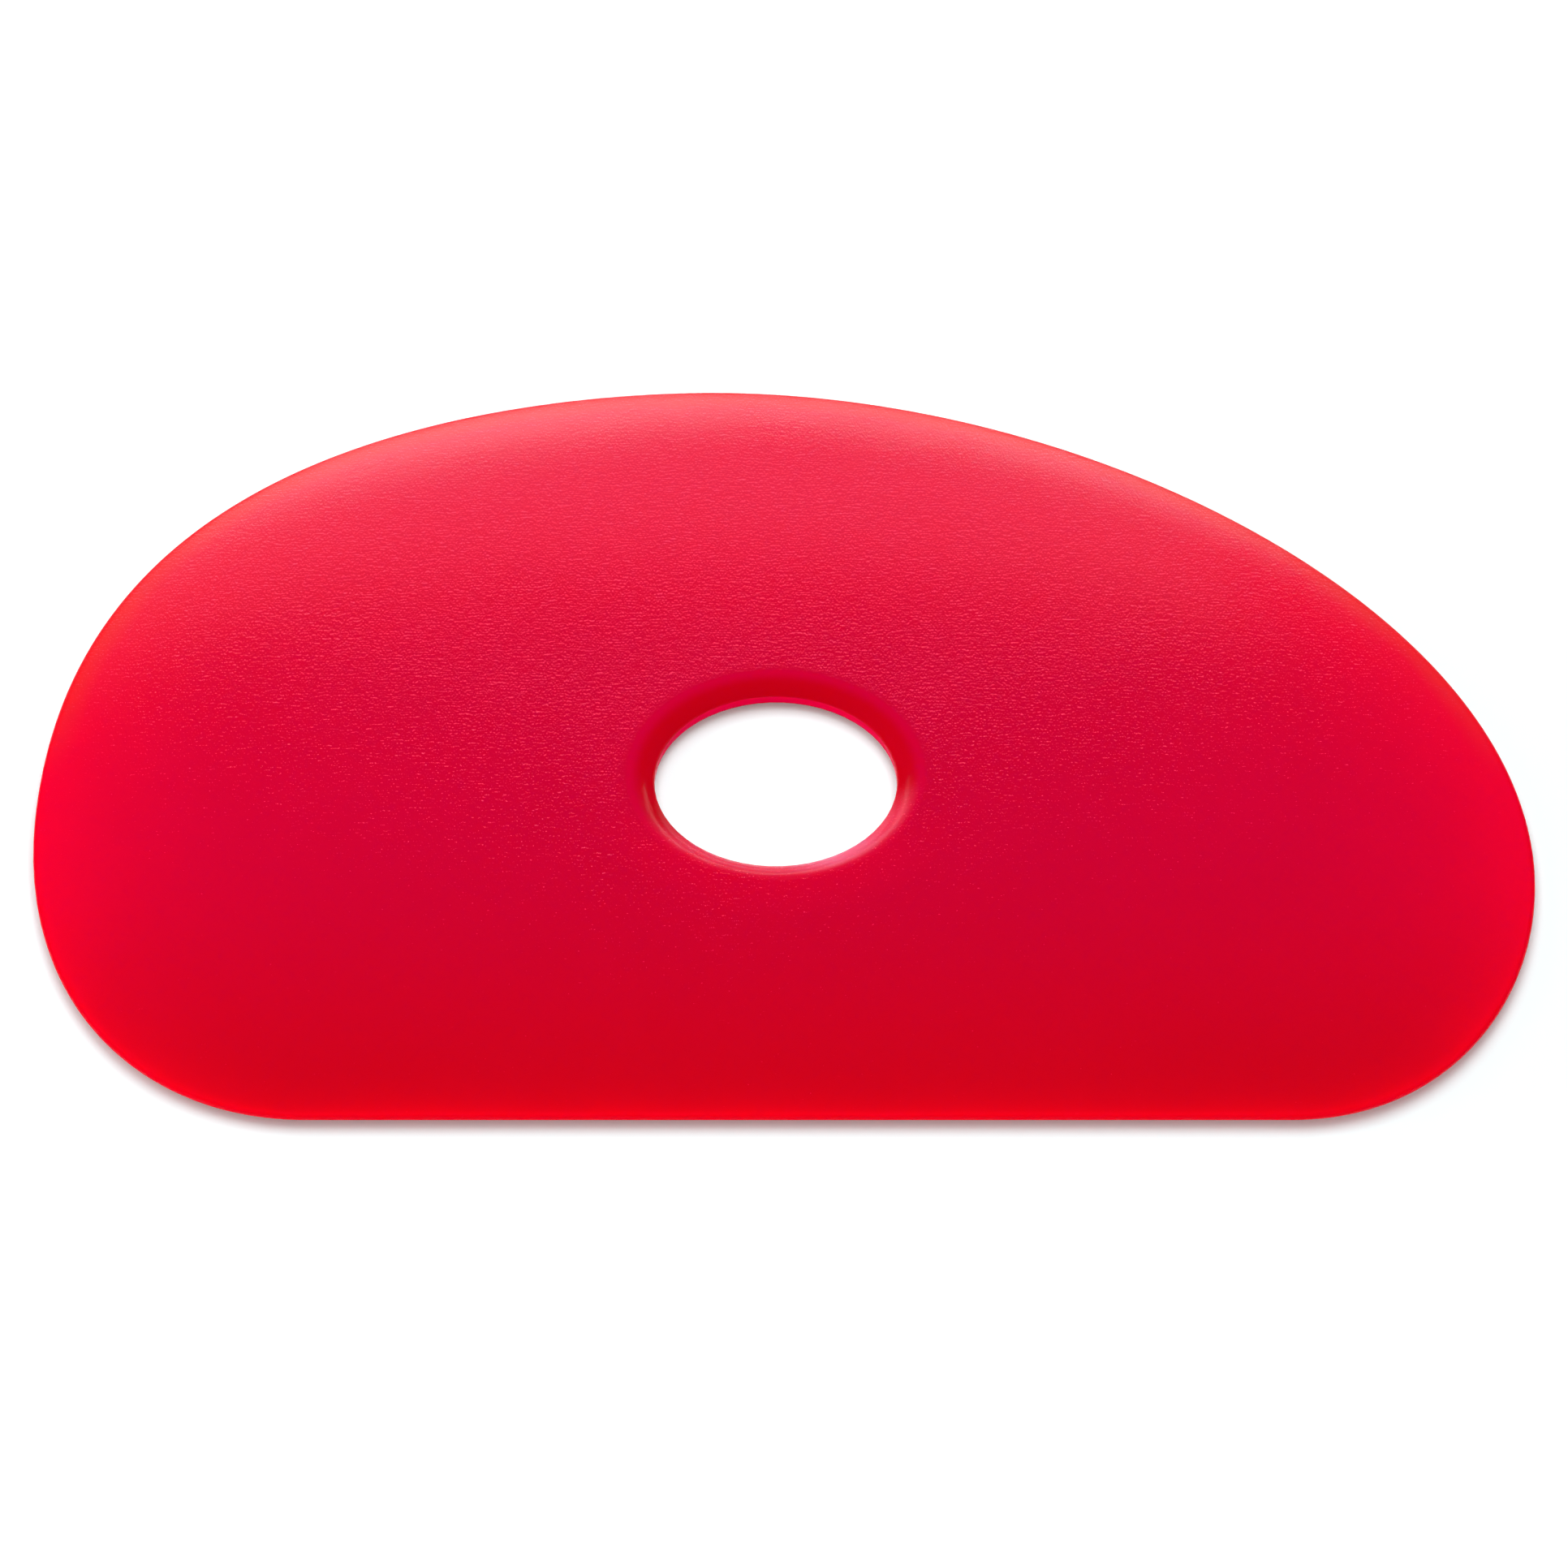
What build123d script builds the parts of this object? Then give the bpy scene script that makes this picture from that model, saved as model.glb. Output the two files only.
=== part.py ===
from build123d import *

import os

# A kidney-shaped potter's rib, moulded in one piece from a soft, see-through polymer.
# It lies flat. The origin is on the finger hole's axis, halfway through the thickness.
# +X runs along the straight edge to the right, +Y to the crown of the curved back, +Z up.
# All lengths are in mm.

# Outline at mid-thickness, measured from the finger hole's axis
REACH_LEFT = 75.3  # tip of the left end
REACH_RIGHT = 76.5  # tip of the right end
REACH_FRONT = 46.3  # straight working edge
REACH_BACK = 60.9  # crown of the curved back
CROWN_TO_LEFT = 7.0  # the crown lies this far left of the hole
LEFT_TIP_TO_FRONT = 3.9  # the left end's tip lies this far in front of the hole
RIGHT_TIP_TO_FRONT = 10.8
STRAIGHT_RUN_LEFT = 45.6  # the straight edge ends this far left of the hole
STRAIGHT_RUN_RIGHT = 50.1

# Fullness of each corner curve at its start and end, clockwise: handle length over the corner's span
BACK_RIGHT_FULLNESS = (0.49, 0.52)
FRONT_RIGHT_FULLNESS = (0.50, 0.61)
FRONT_LEFT_FULLNESS = (0.55, 0.62)
BACK_LEFT_FULLNESS = (0.92, 0.23)

# Section, the same above and below mid-thickness. From the flat middle each face falls away to the
# edge in one curve, which is steepest at the edge.
HUB_THICKNESS = 3.0  # flat middle, round the finger hole
EDGE_THICKNESS = 0.8  # where the curve ends and the edge's rounding starts
EDGE_ROUNDING = 0.4  # how far the edge's rounding reaches in from the outline
EDGE_SLOPE_RUN = 11.3  # run over which the slope at the edge would rise to the full thickness
FLAT_BESIDE_RIM = 10.0  # flat left between the hole's rim and the curve, towards the left end
FLAT_BEFORE_RIM = 1.2  # the same, towards the straight edge

# Finger hole
HOLE_DIAMETER = 24.8
HOLE_LAND = 1.0  # height of the straight wall, before its corners are rounded
HOLE_RIM_WIDTH = 3.0  # how far each dished rim reaches out from the wall
HOLE_CORNER_RADIUS = 0.4  # between the wall and each rim
CUT_OVERRUN = 1.0  # how far the hole's cutter stands clear of both faces

LENGTH = REACH_LEFT + REACH_RIGHT
DEPTH = REACH_FRONT + REACH_BACK
HALF_HUB = HUB_THICKNESS / 2
HALF_EDGE = EDGE_THICKNESS / 2
HALF_LAND = HOLE_LAND / 2
HOLE_RADIUS = HOLE_DIAMETER / 2
RIM_RADIUS = HOLE_RADIUS + HOLE_RIM_WIDTH


def corner_curve(start, corner, end, fullness):
    """Control points of a cubic that leaves start and reaches end along the corner's two sides."""
    start_handle = start + (corner - start) * fullness[0]
    end_handle = end + (corner - end) * fullness[1]
    return [start, start_handle, end_handle, end]


def ring(scales, height):
    """The outline's five spans, clockwise from the crown, scaled about the hole and at one height."""
    x_scale, y_scale = scales

    def place(x, y):
        return Vector(x * x_scale, y * y_scale, height)

    crown = place(-CROWN_TO_LEFT, REACH_BACK)
    right_tip = place(REACH_RIGHT, -RIGHT_TIP_TO_FRONT)
    straight_right = place(STRAIGHT_RUN_RIGHT, -REACH_FRONT)
    straight_left = place(-STRAIGHT_RUN_LEFT, -REACH_FRONT)
    left_tip = place(-REACH_LEFT, -LEFT_TIP_TO_FRONT)
    back_right = place(REACH_RIGHT, REACH_BACK)
    front_right = place(REACH_RIGHT, -REACH_FRONT)
    front_left = place(-REACH_LEFT, -REACH_FRONT)
    back_left = place(-REACH_LEFT, REACH_BACK)
    return [
        corner_curve(crown, back_right, right_tip, BACK_RIGHT_FULLNESS),
        corner_curve(right_tip, front_right, straight_right, FRONT_RIGHT_FULLNESS),
        [straight_right, straight_left],
        corner_curve(straight_left, front_left, left_tip, FRONT_LEFT_FULLNESS),
        corner_curve(left_tip, back_left, crown, BACK_LEFT_FULLNESS),
    ]


def inset_scales(inset):
    """Scales that draw the outline smaller by this inset on average."""
    return 1 - 2 * inset / LENGTH, 1 - 2 * inset / DEPTH


def band(*rings):
    """Faces round the blade, curved in section, from the first ring to the last."""
    return [Face.make_bezier_surface(list(rows)) for rows in zip(*rings)]


def blade_side(side):
    """One side of the blade: 1 is the top and -1 the underside."""
    edge_slope = (HALF_HUB - HALF_EDGE) / EDGE_SLOPE_RUN
    wall_height = HALF_EDGE - EDGE_ROUNDING * edge_slope
    outline = (1, 1)
    shoulder = inset_scales(EDGE_ROUNDING)
    slope_end = inset_scales(EDGE_ROUNDING + EDGE_SLOPE_RUN)
    flat_x_scale = (RIM_RADIUS + FLAT_BESIDE_RIM) / REACH_LEFT
    flat_y_scale = (RIM_RADIUS + FLAT_BEFORE_RIM) / REACH_FRONT
    flat = (flat_x_scale, flat_y_scale)
    flat_approach = [(outer + 2 * inner) / 3 for outer, inner in zip(shoulder, flat)]

    edge_ring = ring(outline, 0)
    wall_ring = ring(outline, side * wall_height)
    shoulder_ring = ring(shoulder, side * HALF_EDGE)
    slope_end_ring = ring(slope_end, side * HALF_HUB)
    flat_approach_ring = ring(flat_approach, side * HALF_HUB)
    flat_ring = ring(flat, side * HALF_HUB)

    rounding = band(edge_ring, wall_ring, shoulder_ring)
    taper = band(shoulder_ring, slope_end_ring, flat_approach_ring, flat_ring)
    flat_face = Face(Wire([Edge.make_bezier(*span) for span in flat_ring]))
    return rounding + taper + [flat_face]


def finger_hole_cutter():
    """A straight wall between two dished rims, each rim leaving its face without a step."""
    over = HALF_HUB + CUT_OVERRUN
    upper_rim = TangentArc((RIM_RADIUS, HALF_HUB), (HOLE_RADIUS, HALF_LAND), tangent=(-1, 0))
    lower_rim = mirror(upper_rim, Plane.XZ)
    wall = Line((HOLE_RADIUS, HALF_LAND), (HOLE_RADIUS, -HALF_LAND))
    outside = Polyline(
        (RIM_RADIUS, HALF_HUB),
        (RIM_RADIUS, over),
        (0, over),
        (0, -over),
        (RIM_RADIUS, -over),
        (RIM_RADIUS, -HALF_HUB),
    )
    profile = make_face([*upper_rim.edges(), *wall.edges(), *lower_rim.edges(), *outside.edges()])
    wall_corners = profile.vertices().filter_by(lambda corner: abs(corner.Y) < HALF_HUB)
    profile = fillet(wall_corners, HOLE_CORNER_RADIUS)
    return revolve(Plane.XZ * profile, Axis.Z)


def rib_blade():
    blade = Solid(Shell(blade_side(1) + blade_side(-1)))
    return blade - finger_hole_cutter()


os.makedirs("parts", exist_ok=True)
export_step(rib_blade(), "parts/rib_blade.step")
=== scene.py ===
from math import cos, pi, radians, sin

import bpy
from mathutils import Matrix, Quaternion, Vector


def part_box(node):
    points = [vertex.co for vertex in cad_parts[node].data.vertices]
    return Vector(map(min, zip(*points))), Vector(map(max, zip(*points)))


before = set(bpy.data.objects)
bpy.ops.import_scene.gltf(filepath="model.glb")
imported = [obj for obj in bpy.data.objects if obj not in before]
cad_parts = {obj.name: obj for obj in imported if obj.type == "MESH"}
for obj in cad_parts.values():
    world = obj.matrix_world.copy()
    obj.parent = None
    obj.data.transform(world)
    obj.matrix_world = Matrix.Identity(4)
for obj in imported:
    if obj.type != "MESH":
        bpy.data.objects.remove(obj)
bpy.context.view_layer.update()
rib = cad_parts["rib_blade"]
MM = 0.001

# Camera, at the photograph's angle
CAMERA_ELEVATION = 44.5
CAMERA_DISTANCE = 600 * MM
CAMERA_TARGET = Vector((0.84, -0.12, 0)) * MM
CAMERA_LENS = 134.7
CAMERA_CLIP = 10 * MM

# The blade's section, as in its solid: half thickness in the middle and at the edge
HALF_HUB = 1.5 * MM
HALF_EDGE = 0.4 * MM
RIM_RADIUS = 15.4 * MM  # where the finger hole's dished rims end
RIM_FADE = 2 * MM  # outside the rims, the thickness counts fully after this width

# Polymer, in linear light. Part of the shading is painted here and stays fixed to the blade.
DEEP_CRIMSON = (0.63, 0.0003, 0.039, 1)  # over the flat middle, towards the curved back; its blue is painted sheen of the light from behind
THIN_CRIMSON = (0.98, 0.0003, 0.037, 1)  # painted glow at the thin edge, where light comes through
DEEP_RED = (0.64, 0.0010, 0.011, 1)  # the same two, towards the straight edge, where less sheen is painted
THIN_RED = (0.84, 0.0010, 0.011, 1)
EDGE_WARM = (0.98, 0.018, 0.026, 1)  # painted sheen and glow on the last stretch before the edge, round the curved back
EDGE_RED = (0.98, 0.0003, 0.014, 1)  # rounding of the outer edge, brightened by painted light
BACK_SHEEN = (0.98, 0.030, 0.200, 1)  # a little of this over the curved back
RIM_RED = (0.58, 0.0003, 0.010, 1)  # smooth rims of the finger hole, a little darker: painted shade
RIM_PINK = (0.82, 0.040, 0.095, 1)  # highlight on their front part
RIM_PALE = (0.90, 0.120, 0.230, 1)  # its palest place
WALL_CRIMSON = (0.98, 0.0003, 0.060, 1)  # the hole's wall, between the rims, brightened by painted light
THIN_RED_POWER = 4.5  # how late the red turns thin towards the edge, so the painted glow is weaker along the straight edge
THIN_CRIMSON_POWER = 1.2
BEFORE_HOLE_SHARE = 0.22  # how much thin crimson, a painted glow, lies before the hole
BACK_SHEEN_SHARE = 0.10

# Ramps: the value at which each starts, the one at which it ends, and its two levels if they
# aren't 0 and 1. The last word of a name says along what it runs.
CLOUD_NOISE = (0.3, 0.7, -0.03, 0.03)
# painted sheen: red at the front turns to crimson towards the back
CRIMSON_Y = (-50 * MM, -4 * MM)
DEEP_RADIUS = (20 * MM, 45 * MM, 1.0, 0.92)
# painted sheen: the deep colour gives way to thin crimson towards the back
DEEP_Y = (12 * MM, 40 * MM, 1.0, 0.58)
BEFORE_HOLE_RADIUS = (21 * MM, 15 * MM)
BEFORE_HOLE_Y = (-5 * MM, -12 * MM)
BACK_SHEEN_Y = (26 * MM, 44 * MM)
EDGE_WARM_THINNESS = (0.8, 1.0)
EDGE_WARM_Y = (0.0, 15 * MM)
RIM_COLOUR_RADIUS = (RIM_RADIUS - 0.3 * MM, RIM_RADIUS - 1.8 * MM)
HIGHLIGHT_LEANING = (-3 * MM, -9.5 * MM)
PALE_BESIDE = (6 * MM, 0.0)
PALE_Y = (-6 * MM, -9 * MM)
WALL_HEIGHT = (0.45 * MM, 0.3 * MM)
# Ramps of the grain's painted glints
THRESHOLD_REACH = (4 * MM, -40 * MM, 0.015, 0.38)
GLINT_REACH = (4 * MM, -40 * MM, 1.0, 1.9)
GLINT_THINNESS = (0.5, 1.0, 1.0, 0.5)
GLINT_RADIUS = (RIM_RADIUS - 0.2 * MM, RIM_RADIUS + 0.8 * MM)
SHINE_RADIUS = (RIM_RADIUS - 0.3 * MM, RIM_RADIUS + 0.1 * MM, 0.08, 0.5)
SHINE_HEIGHT = (0.3 * MM, 0.5 * MM, 0.1, 1.0)
ROUGHNESS_NOISE = (0.3, 0.7, 0.115, 0.145)

HIGHLIGHT_LEAN = 0.2  # the highlight lies this much askew
PALE_X = 6.5 * MM  # the painted highlight's palest place, to the right of the hole's axis
CLOUD_SIZE = 14 * MM

# Grain, in the bump and the roughness, with painted glints: its facets that face back are painted
# lighter, where they would catch the light from behind.
GLINT = (1.15, 0.140, 0.310)  # painted glint colour added, times the facet's slope
FACET_STEP = 0.08 * MM
GRAIN_ROUGHNESS = 0.7
FINE_STRETCH, FINE_SIZE, FINE_DETAIL = (1.9, 1.0, 1.0), 0.36 * MM, 1
STREAK_STRETCH, STREAK_SIZE, STREAK_DETAIL = (0.25, 1.0, 1.0), 0.24 * MM, 0
STREAK_SHARE = 0.45
GLINT_CENTRE_LEFT = 5 * MM  # the painted glints reach furthest to the front this far left of the hole's axis
GLINT_SIDE_FALL = 0.4  # and draws back by this much of the way to either side
HIGHLIGHT_GLINTS = 0.8
SWELL_SIZE = 1.6 * MM
SWELL_SHARE = 0.5
BUMP_HEIGHT = 0.012 * MM

# Floor. It gives off least light near the blade, so that the shadow shows. Ramps as above.
FLOOR_COLOUR = (0.86, 0.97, 0.98, 1)  # a little cyan, against the red light thrown by the blade
FLOOR_RADIUS = 3.0
FLOOR_SIDES = 96
FLOOR_NEAR_DISTANCE = (85 * MM, 130 * MM, 0.17, 0.40)
FLOOR_FAR_DISTANCE = (130 * MM, 700 * MM, 0.0, 0.6)  # added where the lamps' light runs out

# World, by the height of the direction: white walls, then a dim ceiling
CEILING_UP = (sin(radians(8)), sin(radians(13)), 1.0, 0.005)

# Lamps, in metres and degrees. A radiance of 1 is white.
MIDDLE = (0, 0, 0)
LAMPS_BACK_Y = 0.3
STRIP_SIZE, STRIP_RADIANCE = (0.17, 0.045), 2.8
PANEL_SIZE, PANEL_RADIANCE = (0.25, 0.06), 0.33
# Strips whose reflection is the sheen along the curved back: name, X, Z, roll
STRIPS = (
    ("back_strip_left", -0.085, 0.153, 12),
    ("back_strip_right", 0.08, 0.147, -9),
)
PANEL_X, PANEL_Z = -0.035, 0.207
# Lamps that reflections don't show: name, place, aim, width, height, radiance
FILLS = (
    ("top_fill", (0.02, 0.0, 0.42), MIDDLE, 0.8, 0.36, 1.94),
    ("front_fill", (0, -0.5, 0.12), MIDDLE, 0.8, 0.12, 1.8),
    ("left_fill", (-0.42, 0.05, 0.20), MIDDLE, 0.3, 0.4, 1.9),
    ("overhead", (0, 0.12, 0.8), MIDDLE, 0.8, 0.8, 0.85),
)


def towards(elevation):
    """Unit vector from the object towards a viewer in front of it."""
    angle = radians(elevation)
    return Vector((0, -cos(angle), sin(angle)))


def add_camera():
    data = bpy.data.cameras.new("camera")
    data.lens = CAMERA_LENS
    data.clip_start = CAMERA_CLIP
    camera = bpy.data.objects.new("camera", data)
    camera.location = CAMERA_TARGET + towards(CAMERA_ELEVATION) * CAMERA_DISTANCE
    camera.rotation_mode = "QUATERNION"
    camera.rotation_quaternion = (-towards(CAMERA_ELEVATION)).to_track_quat("-Z", "Y")
    bpy.context.scene.collection.objects.link(camera)
    bpy.context.scene.camera = camera


def add_softbox(name, place, aim, width, height, radiance, glossy=True, roll=0.0):
    """A flat rectangular lamp that faces aim."""
    data = bpy.data.lights.new(name, "AREA")
    data.shape = "RECTANGLE"
    data.size = width
    data.size_y = height
    data.energy = radiance * width * height * pi
    lamp = bpy.data.objects.new(name, data)
    lamp.location = place
    lamp.rotation_mode = "QUATERNION"
    facing = (Vector(place) - Vector(aim)).to_track_quat("Z", "Y")
    lamp.rotation_quaternion = facing @ Quaternion((0, 0, 1), radians(roll))
    lamp.visible_camera = False
    lamp.visible_glossy = glossy
    bpy.context.scene.collection.objects.link(lamp)


def add_lamps():
    """Strips and a panel behind the blade, which it reflects, and fills that only light it."""
    for name, x, z, roll in STRIPS:
        place, aim = (x, LAMPS_BACK_Y, z), (x, 0, z)
        add_softbox(name, place, aim, *STRIP_SIZE, STRIP_RADIANCE, roll=roll)
    place, aim = (PANEL_X, LAMPS_BACK_Y, PANEL_Z), (PANEL_X, 0, PANEL_Z)
    add_softbox("back_panel", place, aim, *PANEL_SIZE, PANEL_RADIANCE)
    for fill in FILLS:
        add_softbox(*fill, glossy=False)


class Nodes:
    """A material's or world's node tree, with short calls that add and link its nodes."""

    def __init__(self, tree):
        self.tree = tree
        tree.nodes.clear()

    def add(self, kind, settings=None, **inputs):
        node = self.tree.nodes.new("ShaderNode" + kind)
        for name, value in (settings or {}).items():
            setattr(node, name, value)
        for name, value in inputs.items():
            self.set(node, name.replace("_", " "), value)
        return node

    def set(self, node, name, value):
        """Set or link an input by its name, or by its number after a #."""
        socket = node.inputs[int(name[1:])] if name[0] == "#" else node.inputs[name]
        if isinstance(value, bpy.types.NodeSocket):
            self.tree.links.new(value, socket)
        else:
            socket.default_value = value

    def set_all(self, node, *values):
        """Set or link a node's first inputs, in their order."""
        for index, value in enumerate(values):
            self.set(node, f"#{index}", value)

    def math(self, operation, first, second=0.0, clamp=False):
        node = self.add("Math", {"operation": operation, "use_clamp": clamp})
        self.set_all(node, first, second)
        return node.outputs[0]

    def times(self, first, second):
        return self.math("MULTIPLY", first, second)

    def spread(self, value, low, high, to_low=0.0, to_high=1.0, smooth=False):
        """A ramp from to_low at low to to_high at high, level past both ends."""
        kind = "SMOOTHSTEP" if smooth else "LINEAR"
        node = self.add("MapRange", {"interpolation_type": kind})
        self.set_all(node, value, low, high, to_low, to_high)
        return node.outputs[0]

    def mix(self, share, first, second):
        node = self.add("Mix", {"data_type": "RGBA"})
        self.set(node, "#0", share)
        self.set(node, "#6", first)
        self.set(node, "#7", second)
        return node.outputs[2]

    def noise(self, vector, size, detail=2.0, roughness=0.5):
        scale = 1 / size
        node = self.add("TexNoise", Vector=vector, Scale=scale, Detail=detail, Roughness=roughness)
        return node.outputs["Fac"]


def hole_distance(n, axes):
    """Distance from the finger hole's axis."""
    flat = n.add("CombineXYZ", X=axes["X"], Y=axes["Y"]).outputs[0]
    return n.add("VectorMath", {"operation": "LENGTH"}, Vector=flat).outputs["Value"]


def thinness(n, place, axes, radius):
    """0 over the flat middle, 1 at the outer edge, a little cloudy. The rims count as middle."""
    thin = n.spread(n.math("ABSOLUTE", axes["Z"]), HALF_HUB, HALF_EDGE)
    thin = n.times(thin, n.spread(radius, RIM_RADIUS, RIM_RADIUS + RIM_FADE))
    clouds = n.spread(n.noise(place, CLOUD_SIZE), *CLOUD_NOISE)
    return n.math("ADD", thin, clouds, clamp=True)


def blade_colour(n, axes, radius, thin):
    """Red towards the straight edge, crimson towards the curved back, brighter where thin. The
    crimson's blue and its lightening towards the back are painted sheen, as is the little back sheen;
    the brightening where thin and before the hole is a painted glow; the warm last stretch round the
    back is painted sheen and glow.
    """
    front = n.mix(n.math("POWER", thin, THIN_RED_POWER), DEEP_RED, THIN_RED)
    deep = n.math("SUBTRACT", 1.0, n.math("POWER", thin, THIN_CRIMSON_POWER))
    deep = n.times(deep, n.spread(radius, *DEEP_RADIUS))
    deep = n.times(deep, n.spread(axes["Y"], *DEEP_Y, smooth=True))
    back = n.mix(deep, THIN_CRIMSON, DEEP_CRIMSON)
    colour = n.mix(n.spread(axes["Y"], *CRIMSON_Y, smooth=True), front, back)

    before_hole = n.spread(radius, *BEFORE_HOLE_RADIUS)
    before_hole = n.times(before_hole, n.spread(axes["Y"], *BEFORE_HOLE_Y))
    colour = n.mix(n.times(before_hole, BEFORE_HOLE_SHARE), colour, THIN_CRIMSON)
    far_back = n.spread(axes["Y"], *BACK_SHEEN_Y)
    colour = n.mix(n.times(far_back, BACK_SHEEN_SHARE), colour, BACK_SHEEN)
    warm = n.times(n.spread(thin, *EDGE_WARM_THINNESS), n.spread(axes["Y"], *EDGE_WARM_Y))
    return n.mix(warm, colour, EDGE_WARM)


def rim_and_edge_colour(n, axes, radius, height, leaning, blade):
    """The blade's colour, with the finger hole's rims and wall and the outer edge's rounding: the
    rims darker in painted shade, with a painted highlight on their front part, and the wall and the
    rounding brightened by painted light.
    """
    on_rim = n.spread(radius, *RIM_COLOUR_RADIUS, smooth=True)
    highlight = n.spread(leaning, *HIGHLIGHT_LEANING, smooth=True)
    rim = n.mix(highlight, RIM_RED, RIM_PINK)
    beside = n.math("ABSOLUTE", n.math("SUBTRACT", axes["X"], PALE_X))
    pale = n.spread(beside, *PALE_BESIDE, smooth=True)
    pale = n.times(pale, n.spread(axes["Y"], *PALE_Y))
    rim = n.mix(pale, rim, RIM_PALE)
    colour = n.mix(on_rim, blade, rim)
    wall = n.spread(height, *WALL_HEIGHT)
    return n.mix(wall, colour, n.mix(on_rim, EDGE_RED, WALL_CRIMSON))


def grain_slope(n, place, stretch, size, detail):
    """Noise whose X, Y and Z are scaled by stretch, and how fast it falls from front to back."""
    heights = []
    for step in (-FACET_STEP, FACET_STEP):
        moved = n.add("Mapping", Vector=place, Scale=stretch, Location=(0.0, step, 0.0))
        heights.append(n.noise(moved.outputs[0], size, detail, GRAIN_ROUGHNESS))
    return heights[0], n.math("SUBTRACT", heights[0], heights[1])


def grain_and_glints(n, place, axes, radius, thin, leaning):
    """Fine grain, and painted glints on its facets that face back: close behind the finger hole and
    thinning out to a few glints before it.
    """
    grain, slope = grain_slope(n, place, FINE_STRETCH, FINE_SIZE, FINE_DETAIL)
    _, streaks = grain_slope(n, place, STREAK_STRETCH, STREAK_SIZE, STREAK_DETAIL)
    facing = n.math("ADD", slope, n.times(streaks, STREAK_SHARE))

    aside = n.math("ABSOLUTE", n.math("ADD", axes["X"], GLINT_CENTRE_LEFT))
    reach = n.math("SUBTRACT", axes["Y"], n.times(aside, GLINT_SIDE_FALL))
    threshold = n.spread(reach, *THRESHOLD_REACH)
    glints = n.math("MAXIMUM", n.math("SUBTRACT", facing, threshold), 0.0)
    glints = n.times(glints, n.spread(reach, *GLINT_REACH))
    glints = n.times(glints, n.spread(thin, *GLINT_THINNESS))

    # No painted glints on the smooth rims, except in the painted highlight
    beyond_rim = n.spread(radius, *GLINT_RADIUS)
    highlight = n.times(n.spread(leaning, *HIGHLIGHT_LEANING), HIGHLIGHT_GLINTS)
    return grain, n.times(glints, n.math("MAXIMUM", beyond_rim, highlight))


def rib_material():
    """See-through red polymer with a finely blasted mould texture."""
    material = bpy.data.materials.new("rib_polymer")
    material.use_nodes = True
    n = Nodes(material.node_tree)
    place = n.add("TexCoord").outputs["Object"]
    axes = n.add("SeparateXYZ", Vector=place).outputs
    radius = hole_distance(n, axes)
    height = n.math("ABSOLUTE", axes["Z"])
    leaning = n.math("SUBTRACT", axes["Y"], n.times(axes["X"], HIGHLIGHT_LEAN))
    thin = thinness(n, place, axes, radius)

    plain = blade_colour(n, axes, radius, thin)
    plain = rim_and_edge_colour(n, axes, radius, height, leaning, plain)
    grain, glints = grain_and_glints(n, place, axes, radius, thin, leaning)
    # Painted glints of the grain, added to the colour
    colour = n.add("VectorMath", {"operation": "MULTIPLY_ADD"})
    n.set_all(colour, glints, GLINT, plain)

    swell = n.noise(place, SWELL_SIZE, detail=1)
    relief = n.math("ADD", grain, n.times(swell, SWELL_SHARE))
    bump = n.add("Bump", Strength=1.0, Distance=BUMP_HEIGHT, Height=relief).outputs["Normal"]

    # Quiet on the rims, the hole's wall and the edge's rounding
    shine = n.times(n.spread(radius, *SHINE_RADIUS), n.spread(height, *SHINE_HEIGHT))

    shader = n.add(
        "BsdfPrincipled",
        Base_Color=colour.outputs[0],
        Roughness=n.spread(grain, *ROUGHNESS_NOISE),
        IOR=1.5,
        Specular_IOR_Level=shine,
        Subsurface_Weight=1.0,
        Subsurface_Radius=(1.0, 0.1, 0.15),
        Subsurface_Scale=1.0 * MM,
        Normal=bump,
    )
    out = n.add("OutputMaterial", Surface=shader.outputs["BSDF"])
    out.is_active_output = True
    return material


def floor_material():
    """White to the camera, to reflections and to what shows through, and it keeps the shadow."""
    material = bpy.data.materials.new("floor_white")
    material.use_nodes = True
    n = Nodes(material.node_tree)
    path = n.add("LightPath").outputs
    seen = n.math("ADD", path["Is Camera Ray"], path["Is Glossy Ray"])
    seen = n.math("ADD", seen, path["Is Transmission Ray"], clamp=True)
    matte = n.add("BsdfDiffuse", Color=FLOOR_COLOUR)
    axes = n.add("SeparateXYZ", Vector=n.add("TexCoord").outputs["Object"]).outputs
    distance = hole_distance(n, axes)
    near = n.spread(distance, *FLOOR_NEAR_DISTANCE)
    level = n.math("ADD", near, n.spread(distance, *FLOOR_FAR_DISTANCE))
    lift = n.add("Emission", Color=(1, 1, 1, 1), Strength=n.times(seen, level))
    total = n.add("AddShader")
    n.set_all(total, matte.outputs[0], lift.outputs[0])
    n.add("OutputMaterial", Surface=total.outputs[0])
    return material


def add_floor():
    low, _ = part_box("rib_blade")
    bpy.ops.mesh.primitive_circle_add(
        vertices=FLOOR_SIDES, radius=FLOOR_RADIUS, fill_type="NGON", location=(0, 0, low.z)
    )
    floor = bpy.context.object
    floor.name = "floor"
    floor.data.materials.append(floor_material())


def set_world():
    """A studio with white walls up to a low height and a dim ceiling."""
    world = bpy.data.worlds.new("studio")
    bpy.context.scene.world = world
    world.use_nodes = True
    n = Nodes(world.node_tree)
    direction = n.add("TexCoord").outputs["Generated"]
    up = n.add("SeparateXYZ", Vector=direction).outputs["Z"]
    level = n.spread(up, *CEILING_UP, smooth=True)
    background = n.add("Background", Color=(1, 1, 1, 1), Strength=level)
    n.add("OutputWorld", Surface=background.outputs[0])


add_camera()
rib.data.materials.clear()
rib.data.materials.append(rib_material())
add_floor()
set_world()
add_lamps()
bpy.context.scene.view_settings.view_transform = "Standard"
